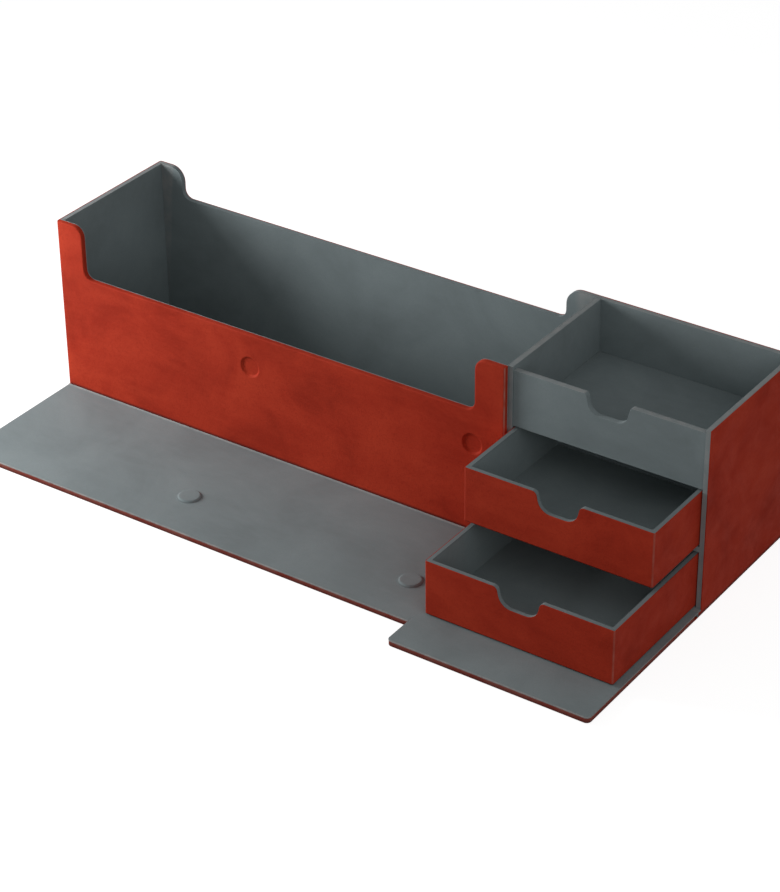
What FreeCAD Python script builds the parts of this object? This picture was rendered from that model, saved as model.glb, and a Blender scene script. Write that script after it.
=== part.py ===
import FreeCAD, Part
import math
import os

# Card storage box: a long tray with a cabinet of two drawers at its right end,
# an open compartment above the drawers and a front flap that lies flat.
# Millimetres. X runs along the box, Y from front to back, Z up.
# The origin is the middle of the case's underside.

# Case
case_length = 380.0
case_depth = 85.5
case_height = 99.5
cabinet_width = 108.0
cabinet_front_setback = 3.0

# Layers of every wall of the case and of the flap
cover_thickness = 0.5
board_thickness = 2.0
lining_thickness = 0.5

# Cut-outs in the tray's front and back walls
shoulder_width = 16.5
front_cut_depth = 29.0
back_cut_depth = 17.0
front_shoulder_radius = 6.0
back_shoulder_radius = 8.0
cut_corner_radius = 5.0

# Thumb notches of the compartment and of both drawers
notch_width = 23.5
notch_floor_width = 19.0
notch_depth = 10.0
notch_shoulder_radius = 2.5
notch_corner_radius = 7.0

# Compartment above the drawers
compartment_front_setback = 0.5
compartment_front_drop = 2.0

# Drawers
drawer_height = 29.5
drawer_cover = 0.4
drawer_board = 1.6
drawer_lining = 0.4
drawer_front_setback = 0.5
drawer_side_clearance = 0.5
drawer_under_clearance = 0.4
drawer_over_clearance = 0.8
drawer_back_clearance = 0.5
upper_drawer_pull = 39.5
lower_drawer_pull = 72.0

# Front flap, measured forward from the case's front face
tray_flap_reach = 80.5
drawer_flap_reach = 98.0
flap_corner_radius = 2.5
flap_seam = 0.3
flap_clearance = 0.3

# Round magnets that hold the flap against the tray's front wall
magnet_diameter = 9.0
magnet_thickness = 1.2
magnet_side_clearance = 0.05
magnet_below_cut = 18.5
left_magnet_from_end = 122.0
right_magnet_from_divider = 17.5
dimple_play = 0.45
bump_end_clearance = 0.4

# Cutting tools reach past the faces they cut by this much
cut_overrun = 1.0

# No rounding takes more than this share of the edges beside it
rounding_edge_share = 0.49

# Faces and levels that follow from the sizes above
wall_thickness = cover_thickness + board_thickness + lining_thickness
skin_and_board = cover_thickness + board_thickness
x_left = -case_length / 2
x_right = case_length / 2
y_front = -case_depth / 2
y_back = case_depth / 2

x_left_board = x_left + cover_thickness
x_left_lining = x_left + skin_and_board
x_left_inside = x_left + wall_thickness
x_right_board = x_right - cover_thickness
x_right_lining = x_right - skin_and_board
x_right_inside = x_right - wall_thickness

divider_thickness = board_thickness + 2 * lining_thickness
x_divider = x_right - cabinet_width
x_divider_board = x_divider + lining_thickness
x_divider_lining = x_divider_board + board_thickness
x_bay_left = x_divider + divider_thickness
x_front_board_end = x_divider_board - cover_thickness

y_front_board = y_front + cover_thickness
y_front_lining = y_front + skin_and_board
y_front_inside = y_front + wall_thickness
y_cabinet = y_front + cabinet_front_setback
y_cabinet_board = y_cabinet + lining_thickness
y_back_board = y_back - cover_thickness
y_back_lining = y_back - skin_and_board
y_back_inside = y_back - wall_thickness

z_board = cover_thickness
z_floor_lining = skin_and_board
z_floor = wall_thickness
z_board_top = case_height - lining_thickness

shelf_thickness = board_thickness + 2 * lining_thickness
lower_drawer_bottom = z_floor + drawer_under_clearance
shelf_bottom = lower_drawer_bottom + drawer_height + drawer_over_clearance
upper_drawer_bottom = shelf_bottom + shelf_thickness + drawer_under_clearance
compartment_bottom = upper_drawer_bottom + drawer_height + drawer_over_clearance

cut_left = x_left + shoulder_width
cut_right = x_divider - shoulder_width
bay_middle = (x_bay_left + x_right_inside) / 2

flap_thickness = wall_thickness
hinge_gap = flap_thickness + flap_clearance
hinge_axis_forward = hinge_gap - flap_thickness / 2
hinge_axis_height = flap_thickness / 2
y_flap = y_front - hinge_gap

magnet_radius = magnet_diameter / 2
magnet_hole_radius = magnet_radius + magnet_side_clearance
bump_radius = magnet_hole_radius + lining_thickness
dimple_radius = bump_radius + dimple_play
dimple_cup_radius = dimple_radius + cover_thickness
dimple_depth = board_thickness - magnet_thickness
bump_height = dimple_depth + flap_clearance - bump_end_clearance
magnet_height = case_height - front_cut_depth - magnet_below_cut
magnet_centres = (x_left + left_magnet_from_end, x_divider - right_magnet_from_divider)
closed_flap_lift = hinge_axis_height - hinge_axis_forward
bump_y = y_front - (magnet_height - closed_flap_lift)


def block(x_low, x_high, y_low, y_high, z_low, z_high):
    corner = FreeCAD.Vector(x_low, y_low, z_low)
    return Part.makeBox(x_high - x_low, y_high - y_low, z_high - z_low, corner)


def disc_along_y(x, y_low, y_high, z, radius):
    foot = FreeCAD.Vector(x, y_low, z)
    return Part.makeCylinder(radius, y_high - y_low, foot, FreeCAD.Vector(0, 1, 0))


def disc_along_z(x, y, z_low, z_high, radius):
    return Part.makeCylinder(radius, z_high - z_low, FreeCAD.Vector(x, y, z_low))


def rounded_corner(before, corner, after, radius):
    """Two tangent points and the middle of the arc between them, for one corner of an outline."""
    to_before = before - corner
    to_after = after - corner
    room = rounding_edge_share * min(to_before.Length, to_after.Length)
    to_before.normalize()
    to_after.normalize()
    half_angle = to_before.getAngle(to_after) / 2
    setback = min(radius / math.tan(half_angle), room)
    fitted_radius = setback * math.tan(half_angle)
    inward = to_before + to_after
    inward.normalize()
    middle = corner + inward * (fitted_radius / math.sin(half_angle) - fitted_radius)
    return corner + to_before * setback, middle, corner + to_after * setback


def outline_face(corners):
    """Flat face with rounded corners; each corner is a point and its radius."""
    edges = []
    rounded = []
    for index, (corner, radius) in enumerate(corners):
        before = corners[index - 1][0]
        after = corners[(index + 1) % len(corners)][0]
        if radius == 0:
            rounded.append((corner, None, corner))
        else:
            rounded.append(rounded_corner(before, corner, after, radius))
    for index, (start, middle, end) in enumerate(rounded):
        if middle is not None:
            edges.append(Part.Arc(start, middle, end).toShape())
        next_start = rounded[(index + 1) % len(rounded)][0]
        edges.append(Part.LineSegment(end, next_start).toShape())
    return Part.Face(Part.Wire(edges))


def standing_plate(corners, y_low, y_high):
    """Plate in the XZ plane; corners are (x, z, radius)."""
    points = [(FreeCAD.Vector(x, y_low, z), radius) for x, z, radius in corners]
    return outline_face(points).extrude(FreeCAD.Vector(0, y_high - y_low, 0))


def lying_plate(corners, z_low, z_high):
    """Plate in the XY plane; corners are (x, y, radius)."""
    points = [(FreeCAD.Vector(x, y, z_low), radius) for x, y, radius in corners]
    return outline_face(points).extrude(FreeCAD.Vector(0, 0, z_high - z_low))


def front_wall_corners(x_low, x_high, z_low, rim):
    return tray_wall_corners(x_low, x_high, z_low, front_cut_depth, front_shoulder_radius, rim)


def back_wall_corners(x_low, x_high, z_low, rim):
    return tray_wall_corners(x_low, x_high, z_low, back_cut_depth, back_shoulder_radius, rim)


def tray_wall_corners(x_low, x_high, z_low, cut_depth, shoulder_radius, rim):
    """Outline of a tray wall, its top cut away between two shoulders and lowered by the width of a rim."""
    top = case_height - rim
    cut_z = top - cut_depth
    left = cut_left - rim
    right = cut_right + rim
    return [
        (x_low, z_low, 0),
        (x_high, z_low, 0),
        (x_high, top, 0),
        (right, top, shoulder_radius - rim),
        (right, cut_z, cut_corner_radius + rim),
        (left, cut_z, cut_corner_radius + rim),
        (left, top, shoulder_radius - rim),
        (x_low, top, 0),
    ]


def notch_cutter(top, y_low, y_high, rim):
    """Prism of the thumb notch at the middle of the bay, larger all round by the width of a rim."""
    run = (notch_width - notch_floor_width) / 2
    spread = rim * (math.hypot(run, notch_depth) - run) / notch_depth
    shoulder = notch_width / 2 + spread
    foot = notch_floor_width / 2 + spread
    far = shoulder + notch_shoulder_radius
    above = top + cut_overrun
    edge = top - rim
    floor = edge - notch_depth
    corners = [
        (bay_middle - far, above, 0),
        (bay_middle - far, edge, 0),
        (bay_middle - shoulder, edge, notch_shoulder_radius - rim),
        (bay_middle - foot, floor, notch_corner_radius + rim),
        (bay_middle + foot, floor, notch_corner_radius + rim),
        (bay_middle + shoulder, edge, notch_shoulder_radius - rim),
        (bay_middle + far, edge, 0),
        (bay_middle + far, above, 0),
    ]
    return standing_plate(corners, y_low, y_high)


def make_base():
    return {
        "base_cover": block(x_left, x_right, y_front, y_back, 0, z_board),
        "base_board": block(
            x_left_board, x_right_board, y_front_board, y_back_board, z_board, z_floor_lining),
        "tray_floor_lining": block(
            x_left_lining, x_divider_board, y_front_lining, y_back_lining, z_floor_lining, z_floor),
        "bay_floor_lining": make_bay_floor_lining(),
    }


def make_bay_floor_lining():
    """Lining under the drawers; its apron lies before the cabinet and turns down over the base board."""
    sheet = block(x_divider_lining, x_right_lining, y_cabinet, y_back_lining, z_floor_lining, z_floor)
    apron = block(x_divider_board, x_right, y_front, y_cabinet, z_floor_lining, z_floor)
    lip = block(x_divider_board, x_right, y_front, y_front_board, z_board, z_floor_lining)
    return sheet.fuse(apron).fuse(lip).removeSplitter()


def make_left_end():
    """Tray's end wall; the lining turns over the top of the board."""
    layer = (x_left_board, x_left_lining, y_front_lining, y_back_lining, z_floor_lining)
    board = block(*layer, z_board_top)
    rim = block(*layer, case_height).cut(board)
    sheet = block(x_left_lining, x_left_inside, y_front_inside, y_back_inside, z_floor, case_height)
    return {
        "left_end_cover": block(x_left, x_left_board, y_front_board, y_back_board, z_board, case_height),
        "left_end_board": board,
        "left_end_lining": sheet.fuse(rim).removeSplitter(),
    }


def make_right_end():
    """Cabinet's end wall; the lining turns over the top and the front edge of the board."""
    board_x = (x_right_lining, x_right_board)
    board = block(*board_x, y_cabinet_board, y_back_lining, z_floor_lining, z_board_top)
    rim = block(*board_x, y_cabinet, y_back_lining, z_floor_lining, case_height).cut(board)
    sheet = block(x_right_inside, x_right_lining, y_cabinet, y_back_inside, z_floor, case_height)
    return {
        "right_end_cover": make_right_end_cover(),
        "right_end_board": board,
        "right_end_lining": sheet.fuse(rim).removeSplitter(),
    }


def make_right_end_cover():
    """Cover of the right end, with a low foot beside the base board before the cabinet."""
    sheet = block(x_right_board, x_right, y_cabinet, y_back_board, z_board, case_height)
    foot = block(x_right_board, x_right, y_front_board, y_cabinet, z_board, z_floor_lining)
    return sheet.fuse(foot).removeSplitter()


def make_divider():
    """Wall between tray and cabinet; the cabinet's lining turns over its top and its front edge."""
    board_x = (x_divider_board, x_divider_lining)
    board = block(*board_x, y_cabinet_board, y_back_lining, z_floor_lining, z_board_top)
    rim = block(*board_x, y_cabinet, y_back_lining, z_floor_lining, case_height).cut(board)
    sheet = block(x_divider_lining, x_bay_left, y_cabinet, y_back_inside, z_floor, case_height)
    return {
        "divider_board": board,
        "divider_tray_lining": block(
            x_divider, x_divider_board, y_front_inside, y_back_inside, z_floor, case_height),
        "divider_cabinet_lining": sheet.fuse(rim).removeSplitter(),
    }


def make_tray_front():
    """Tray's front wall: the cover dips over each magnet and turns over the board's top and right end."""
    board_y = (y_front_board, y_front_lining)
    sheet = standing_plate(
        front_wall_corners(x_left, x_divider_board, z_board, 0), y_front, y_front_board)
    layer = standing_plate(
        front_wall_corners(x_left_board, x_divider_board, z_floor_lining, 0), *board_y)
    board = standing_plate(
        front_wall_corners(x_left_board, x_front_board_end, z_floor_lining, cover_thickness), *board_y)
    cover = sheet.fuse(layer.cut(board))
    lining = standing_plate(
        front_wall_corners(x_left_lining, x_divider_board, z_floor, 0), y_front_lining, y_front_inside)
    cup_end = y_front_board + dimple_depth
    magnets = []
    for x in magnet_centres:
        cup = disc_along_y(x, y_front, cup_end, magnet_height, dimple_cup_radius)
        hollow = disc_along_y(
            x, y_front - cut_overrun, y_front + dimple_depth, magnet_height, dimple_radius)
        cover = cover.fuse(cup).cut(hollow)
        board = board.cut(disc_along_y(x, y_front, cup_end, magnet_height, dimple_cup_radius))
        board = board.cut(disc_along_y(x, cup_end, y_front_inside, magnet_height, magnet_hole_radius))
        magnets.append(disc_along_y(x, cup_end, y_front_lining, magnet_height, magnet_radius))
    return {
        "tray_front_cover": cover.removeSplitter(),
        "tray_front_board": board,
        "tray_front_lining": lining,
        "tray_front_magnets": Part.makeCompound(magnets),
    }


def make_back():
    """Back wall of tray and cabinet; the two linings turn over the top edge of the one board."""
    board_y = (y_back_lining, y_back_board)
    sheet_y = (y_back_inside, y_back_lining)
    board = standing_plate(
        back_wall_corners(x_left_board, x_right_board, z_floor_lining, lining_thickness), *board_y)
    tray_layer = standing_plate(
        back_wall_corners(x_left_board, x_divider_lining, z_floor_lining, 0), *board_y)
    tray_sheet = standing_plate(
        back_wall_corners(x_left_lining, x_divider_board, z_floor, 0), *sheet_y)
    cabinet_rim = block(x_divider_lining, x_right_board, *board_y, z_board_top, case_height)
    cabinet_sheet = block(x_divider_lining, x_right_lining, *sheet_y, z_floor, case_height)
    return {
        "back_cover": standing_plate(
            back_wall_corners(x_left, x_right, z_board, 0), y_back_board, y_back),
        "back_board": board,
        "tray_back_lining": tray_sheet.fuse(tray_layer.cut(board)).removeSplitter(),
        "cabinet_back_lining": cabinet_sheet.fuse(cabinet_rim).removeSplitter(),
    }


def make_shelf():
    """Shelf between the drawers; its lining wraps the top, the front edge and the underside."""
    board_low = shelf_bottom + lining_thickness
    board_high = board_low + board_thickness
    top = board_high + lining_thickness
    board = block(x_bay_left, x_right_inside, y_cabinet_board, y_back_inside, board_low, board_high)
    whole = block(x_bay_left, x_right_inside, y_cabinet, y_back_inside, shelf_bottom, top)
    return {"shelf_board": board, "shelf_lining": whole.cut(board)}


def make_compartment():
    """Open compartment above the drawers: a floor, and a front panel whose facing turns over the top."""
    facing_y = y_cabinet + compartment_front_setback
    board_y = facing_y + lining_thickness
    lining_y = board_y + board_thickness
    inside_y = lining_y + lining_thickness
    board_z = compartment_bottom + lining_thickness
    lining_z = board_z + board_thickness
    inside_z = lining_z + lining_thickness
    bay = (x_bay_left, x_right_inside)
    top = case_height - compartment_front_drop
    board_top = top - lining_thickness
    notch_y = (facing_y - cut_overrun, inside_y + cut_overrun)
    notch = notch_cutter(top, *notch_y, 0)
    board_notch = notch_cutter(top, *notch_y, lining_thickness)
    floor_y = (inside_y, y_back_inside)
    board = block(*bay, board_y, lining_y, compartment_bottom, board_top).cut(board_notch)
    facing = block(*bay, facing_y, lining_y, compartment_bottom, top).cut(notch)
    lining = block(*bay, lining_y, inside_y, compartment_bottom, top).cut(notch)
    return {
        "compartment_floor_underside": block(*bay, *floor_y, compartment_bottom, board_z),
        "compartment_floor_board": block(*bay, *floor_y, board_z, lining_z),
        "compartment_floor_lining": block(*bay, *floor_y, lining_z, inside_z),
        "compartment_front_facing": facing.cut(board),
        "compartment_front_board": board,
        "compartment_front_lining": lining,
    }


def make_drawer(name, bottom, pull):
    """Drawer at its pulled-out place: wrap outside, boards between, lining inside and over the rim."""
    left = x_bay_left + drawer_side_clearance
    right = x_right_inside - drawer_side_clearance
    front = y_front + drawer_front_setback - pull
    back = y_back_inside - drawer_back_clearance - pull
    top = bottom + drawer_height
    wall = drawer_cover + drawer_board + drawer_lining
    board_inset = drawer_cover + drawer_board
    board_top = top - drawer_lining
    notch_y = (front - cut_overrun, front + wall + cut_overrun)
    notch = notch_cutter(top, *notch_y, 0)
    board_notch = notch_cutter(top, *notch_y, drawer_lining)

    def inner(inset, z_low, z_high):
        return block(left + inset, right - inset, front + inset, back - inset, z_low, z_high)

    above = top + cut_overrun
    board_low = bottom + drawer_cover
    wall_low = board_low + drawer_board
    lining_top = wall_low + drawer_lining
    wrap = inner(0, bottom, top).cut(inner(drawer_cover, board_low, above)).cut(notch)
    lining = inner(drawer_cover, wall_low, top).cut(inner(wall, lining_top, above)).cut(notch)
    board_x = (left + drawer_cover, right - drawer_cover)
    front_y = (front + drawer_cover, front + board_inset)
    back_y = (back - board_inset, back - drawer_cover)
    side_y = (front + board_inset, back - board_inset)
    boards = {
        "bottom_board": inner(drawer_cover, board_low, wall_low),
        "front_board": block(*board_x, *front_y, wall_low, board_top).cut(board_notch),
        "back_board": block(*board_x, *back_y, wall_low, board_top),
        "left_board": block(left + drawer_cover, left + board_inset, *side_y, wall_low, board_top),
        "right_board": block(right - board_inset, right - drawer_cover, *side_y, wall_low, board_top),
    }
    for board in boards.values():
        lining = lining.cut(board)
    pieces = {"wrap": wrap, "lining": lining, **boards}
    return {name + "_" + piece: shape for piece, shape in pieces.items()}


def tray_flap_corners(inset):
    """Outline of the flap's long section, its three free edges drawn in by inset."""
    x_start = x_left + inset
    x_end = x_divider - flap_seam / 2 - inset
    y_edge = y_front - tray_flap_reach + inset
    return [
        (x_start, y_flap, 0),
        (x_start, y_edge, flap_corner_radius - inset),
        (x_end, y_edge, 0),
        (x_end, y_flap, 0),
    ]


def drawer_flap_corners(inset):
    """Outline of the flap's deeper section, its three free edges drawn in by inset."""
    x_start = x_divider + flap_seam / 2 + inset
    x_end = x_right - inset
    y_edge = y_front - drawer_flap_reach + inset
    return [
        (x_start, y_flap, 0),
        (x_start, y_edge, flap_corner_radius - inset),
        (x_end, y_edge, flap_corner_radius - inset),
        (x_end, y_flap, 0),
    ]


def flap_cover(outline, board_outline):
    """Cover under a section of the flap, turned up round the board's free edges."""
    pocket = lying_plate(board_outline, cover_thickness, skin_and_board + cut_overrun)
    return lying_plate(outline, 0, skin_and_board).cut(pocket)


def make_tray_flap():
    """Long section of the flap: the lining rises over each magnet."""
    outline = tray_flap_corners(0)
    board_outline = tray_flap_corners(cover_thickness)
    board_top = skin_and_board
    cavity_top = board_top + bump_height
    board = lying_plate(board_outline, cover_thickness, board_top)
    lining = lying_plate(outline, board_top, flap_thickness)
    magnets = []
    for x in magnet_centres:
        bump = disc_along_z(x, bump_y, board_top, cavity_top + lining_thickness, bump_radius)
        lining = lining.fuse(bump)
        lining = lining.cut(disc_along_z(x, bump_y, 0, cavity_top, magnet_hole_radius))
        magnet = disc_along_z(x, bump_y, cavity_top - magnet_thickness, cavity_top, magnet_radius)
        pocket = disc_along_z(x, bump_y, cavity_top - magnet_thickness, cavity_top, magnet_hole_radius)
        board = board.cut(pocket)
        magnets.append(magnet)
    return {
        "tray_flap_cover": flap_cover(outline, board_outline),
        "tray_flap_board": board,
        "tray_flap_lining": lining.removeSplitter(),
        "tray_flap_magnets": Part.makeCompound(magnets),
    }


def make_drawer_flap():
    outline = drawer_flap_corners(0)
    board_outline = drawer_flap_corners(cover_thickness)
    return {
        "drawer_flap_cover": flap_cover(outline, board_outline),
        "drawer_flap_board": lying_plate(board_outline, cover_thickness, skin_and_board),
        "drawer_flap_lining": lying_plate(outline, skin_and_board, flap_thickness),
    }


def make_folds():
    """Strips of cover and lining that cross from the case to each section of the flap."""
    fold_y = (y_flap, y_front)
    tray_x = (x_left, x_divider - flap_seam / 2)
    drawer_x = (x_divider + flap_seam / 2, x_right)
    return {
        "tray_fold_cover": block(*tray_x, *fold_y, 0, cover_thickness),
        "tray_fold_lining": block(*tray_x, *fold_y, skin_and_board, flap_thickness),
        "drawer_fold_cover": block(*drawer_x, *fold_y, 0, cover_thickness),
        "drawer_fold_lining": block(*drawer_x, *fold_y, skin_and_board, flap_thickness),
    }


nodes = {}
nodes.update(make_base())
nodes.update(make_left_end())
nodes.update(make_right_end())
nodes.update(make_divider())
nodes.update(make_tray_front())
nodes.update(make_back())
nodes.update(make_shelf())
nodes.update(make_compartment())
nodes.update(make_drawer("upper_drawer", upper_drawer_bottom, upper_drawer_pull))
nodes.update(make_drawer("lower_drawer", lower_drawer_bottom, lower_drawer_pull))
nodes.update(make_tray_flap())
nodes.update(make_drawer_flap())
nodes.update(make_folds())

os.makedirs("parts", exist_ok=True)
for node_name, shape in nodes.items():
    shape.exportStep("parts/" + node_name + ".step")
print(len(nodes), "nodes written")
print("flap axis: y", y_front - hinge_axis_forward, "z", hinge_axis_height)
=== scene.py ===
import math

import bmesh
import bpy
from mathutils import Matrix, Vector
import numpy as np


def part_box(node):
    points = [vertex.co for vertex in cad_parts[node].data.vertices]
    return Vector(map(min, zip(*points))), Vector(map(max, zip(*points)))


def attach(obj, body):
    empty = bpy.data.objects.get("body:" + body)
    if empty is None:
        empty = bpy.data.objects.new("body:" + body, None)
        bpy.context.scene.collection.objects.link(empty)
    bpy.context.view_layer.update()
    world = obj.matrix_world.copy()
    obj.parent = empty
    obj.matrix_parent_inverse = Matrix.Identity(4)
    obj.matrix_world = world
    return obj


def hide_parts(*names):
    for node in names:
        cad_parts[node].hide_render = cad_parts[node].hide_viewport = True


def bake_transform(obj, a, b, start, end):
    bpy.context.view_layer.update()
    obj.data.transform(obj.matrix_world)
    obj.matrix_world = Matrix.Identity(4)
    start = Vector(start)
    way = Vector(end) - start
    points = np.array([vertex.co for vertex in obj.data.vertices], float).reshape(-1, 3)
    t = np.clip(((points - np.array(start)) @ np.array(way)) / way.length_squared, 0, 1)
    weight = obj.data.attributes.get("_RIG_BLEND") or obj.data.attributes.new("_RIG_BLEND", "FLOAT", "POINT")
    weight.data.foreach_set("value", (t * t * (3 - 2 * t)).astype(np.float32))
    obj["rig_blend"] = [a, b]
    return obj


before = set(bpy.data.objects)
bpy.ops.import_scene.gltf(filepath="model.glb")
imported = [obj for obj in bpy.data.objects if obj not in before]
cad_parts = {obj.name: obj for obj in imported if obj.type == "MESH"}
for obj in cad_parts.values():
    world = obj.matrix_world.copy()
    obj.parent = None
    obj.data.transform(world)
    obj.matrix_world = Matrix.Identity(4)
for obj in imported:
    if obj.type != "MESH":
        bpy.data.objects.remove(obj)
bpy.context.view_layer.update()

MM = 0.001
TINY = 1e-6

QUARTER_TURN = math.pi / 2
X_AXIS = Vector((1, 0, 0))
Y_AXIS = Vector((0, 1, 0))
Z_AXIS = Vector((0, 0, 1))

# Camera of the picture: place, direction, focal length in pixels and the picture's height
CAMERA_PLACE = Vector((677.9, -990.8, 742.7)) * MM
CAMERA_AZIMUTH = math.radians(34.884)
CAMERA_ELEVATION = math.radians(31.490)
CAMERA_ROLL = math.radians(-0.587)
FOCAL_PIXELS = 2778.2
PICTURE_HEIGHT = 892
SENSOR = 36.0
CAMERA_REACH = 20.0

# Case, read from the frame
base_low, base_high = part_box("base_cover")
X_LEFT = base_low.x
X_RIGHT = base_high.x
Y_FRONT = base_low.y
Y_BACK = base_high.y
COVER = base_high.z - base_low.z
CASE_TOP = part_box("left_end_cover")[1].z
COVER_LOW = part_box("left_end_cover")[0].z
X_TRAY_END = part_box("tray_front_cover")[1].x
Y_FRONT_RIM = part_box("tray_front_cover")[1].y
Y_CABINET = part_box("right_end_lining")[0].y
FOOT_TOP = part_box("right_end_board")[0].z
X_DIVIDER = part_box("divider_tray_lining")[0].x
CASE_FOLD_RADIUS = 1.2 * MM
RIM_ROLL_RADIUS = 0.9 * MM

# Cut-outs of the tray's long walls
SHOULDER_WIDTH = 16.5 * MM
FRONT_CUT_DEPTH = 29.0 * MM
BACK_CUT_DEPTH = 17.0 * MM
FRONT_SHOULDER_RADIUS = 6.0 * MM
BACK_SHOULDER_RADIUS = 8.0 * MM
CUT_CORNER_RADIUS = 5.0 * MM
CUT_LEFT = X_LEFT + SHOULDER_WIDTH
CUT_RIGHT = X_DIVIDER - SHOULDER_WIDTH

# Thumb notches of the drawers
NOTCH_HALF_WIDTH = 11.75 * MM
NOTCH_HALF_FLOOR = 9.5 * MM
NOTCH_DEPTH = 10.0 * MM
NOTCH_SHOULDER_RADIUS = 2.5 * MM
NOTCH_CORNER_RADIUS = 7.0 * MM

# Drawers: thickness of the wrap and of the whole wall, folds of the wrap, inner corners of the lining
DRAWER_COVER = 0.4 * MM
DRAWER_WALL = 2.4 * MM
DRAWER_FOLD_RADIUS = 0.9 * MM
DRAWER_ROLL_RADIUS = 0.8 * MM
DRAWER_CORNER_RADIUS = 0.7 * MM
DRAWER_CORNER_ROOM = 5.0 * MM

# Flap sections: the lining, the lip by which it meets the case and the seam between the sections
FLAP_CORNER_RADIUS = 2.5 * MM
LINING = 0.5 * MM
LIP_RUN = 0.8 * MM
LIP_RISE = 0.35 * MM
SEAM_FILL = 0.14 * MM
SEAM_BAND = 0.35 * MM

# Dimples and bumps over the magnets: rings from their rim to the flat middle, in a square of cells
DIMPLE_DEPTH = 1.0 * MM
DIMPLE_RIM = 5.9 * MM
DIMPLE_FLAT = 4.6 * MM
BUMP_HEIGHT = 1.0 * MM
BUMP_RIM = 6.5 * MM
BUMP_FLAT = 5.0 * MM
SOFT_MARGIN = 1.1 * MM
DIMPLE_HALF_SQUARE = DIMPLE_RIM + SOFT_MARGIN
BUMP_HALF_SQUARE = BUMP_RIM + SOFT_MARGIN
FLAT_RING_SHARES = (2 / 3, 1 / 3)
# Painted shade in a crease lies on the rings up to this share of the full rise
CREASE_END_SHARE = 0.5
SLOPE_RINGS = 6
SQUARE_CELLS = 8

# Meshing
WALL_STEP = 6.0 * MM
ARC_STEPS = 6
FOLD_STEPS = 5
FOLD_ROWS = 10
EDGE_BAND = 0.9 * MM
EDGE_BEVEL = 0.2 * MM
EDGE_SEGMENTS = 3
DRAWER_BEVEL_SHARE = 0.4
FOLD_BEVEL_SHARE = 0.2
BEVEL_ANGLE = math.radians(40.0)
FLAT_ANGLE = math.radians(1.0)

# Colours, linear
RED_DEEP = (0.275, 0.0205, 0.0092, 1.0)
RED_MAIN = (0.390, 0.0320, 0.0142, 1.0)
RED_PALE = (0.485, 0.0475, 0.0205, 1.0)
RED_EDGE = (0.480, 0.1900, 0.1500, 1.0)
# RED_SHADE and GREY_SHADE are the colours of painted shade
RED_SHADE = (0.070, 0.0110, 0.0090, 1.0)
GREY_DEEP = (0.168, 0.201, 0.208, 1.0)
GREY_MAIN = (0.201, 0.241, 0.249, 1.0)
GREY_PALE = (0.239, 0.284, 0.293, 1.0)
GREY_EDGE = (0.420, 0.385, 0.370, 1.0)
GREY_SHADE = (0.060, 0.068, 0.072, 1.0)
BOARD_DEEP = (0.20, 0.16, 0.14, 1.0)
BOARD_PALE = (0.34, 0.29, 0.27, 1.0)
STEEL_DEEP = (0.42, 0.42, 0.43, 1.0)
STEEL_PALE = (0.66, 0.66, 0.67, 1.0)
FLOOR_COLOUR = (0.40, 0.40, 0.40, 1.0)
WHITE = (1.0, 1.0, 1.0, 1.0)

# Tones of the materials along their patterns
LEATHER_TONES = ((0.30, RED_DEEP), (0.50, RED_MAIN), (0.72, RED_PALE))
FIBRE_TONES = ((0.28, GREY_DEEP), (0.50, GREY_MAIN), (0.74, GREY_PALE))
BOARD_TONES = ((0.35, BOARD_DEEP), (0.65, BOARD_PALE))
STEEL_TONES = ((0.3, STEEL_DEEP), (0.7, STEEL_PALE))

# Patterns and gloss of the materials: each noise's scale and stretch, and the height of its grain
WEAR_PATCHES = 160.0
LEATHER_CLOUDS = 22.0
LEATHER_RUBBING = 75.0
LEATHER_RUBBING_STRETCH = (0.35, 1.0, 1.3)
LEATHER_PORES = 900.0
LEATHER_PEBBLES = 1150.0
LEATHER_PEBBLE_HEIGHT = 0.10 * MM
LEATHER_CREASES = 260.0
LEATHER_CREASE_HEIGHT = 0.25 * MM
LEATHER_SPECULAR = 0.07
FIBRE_CLOUDS = 18.0
FIBRE_NAP = 140.0
FIBRE_NAP_STRETCH = (0.5, 1.6, 1.0)
FIBRE_NAP_HEIGHT = 0.20 * MM
FIBRE_FUZZ = 1600.0
FIBRE_FUZZ_HEIGHT = 0.12 * MM
FIBRE_ROUGHNESS = 0.92
FIBRE_SPECULAR = 0.2
FIBRE_SHEEN = 0.12
FIBRE_SHEEN_ROUGHNESS = 0.45
BOARD_PULP = 420.0
BOARD_PULP_HEIGHT = 0.15 * MM
BOARD_ROUGHNESS = 0.9
STEEL_BRUSHING = 700.0
STEEL_BRUSHING_STRETCH = (1.0, 1.0, 12.0)
STEEL_BRUSHING_HEIGHT = 0.02 * MM

# Stage: the floor and its glow, the world's light, and each lamp's place, aim, size and power
FLOOR_HALF = 6.0
FLOOR_DROP = 0.3 * MM
FLOOR_GLOW = 0.86
WORLD_LIGHT = 0.28
KEY_PLACE = (-0.48, -0.23, 0.195)
KEY_AIM = (-0.10, -0.08, 0.03)
KEY_SIZE = 0.28
KEY_POWER = 2.5
FILL_PLACE = (0.92, -0.58, 0.55)
FILL_AIM = (0.1, 0.0, 0.04)
FILL_SIZE = 0.8
FILL_POWER = 1.8

# How worn folds and rims are (the drawers' right-hand folds also carry a painted highlight), and how dark
# the painted shade in creases and on lower edges is
FOLD_WEAR = 1.0
DRAWER_FOLD_WEAR_AND_HIGHLIGHT = 0.5
LEFT_FOLD_WEAR_AND_HIGHLIGHT_SHARE = 0.2
LIP_WEAR = 0.5
EDGE_WEAR = 0.8
RIM_WEAR = 0.38
EDGE_SHADE = 0.9
SIDE_SHADE = 0.45
DRAWER_RIM_SHADE = 0.22
CREASE_SHADE = 0.4


# Materials

def new_material(name):
    material = bpy.data.materials.new(name)
    material.use_nodes = True
    nodes = material.node_tree.nodes
    return material, nodes, material.node_tree.links, nodes["Principled BSDF"]


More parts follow.
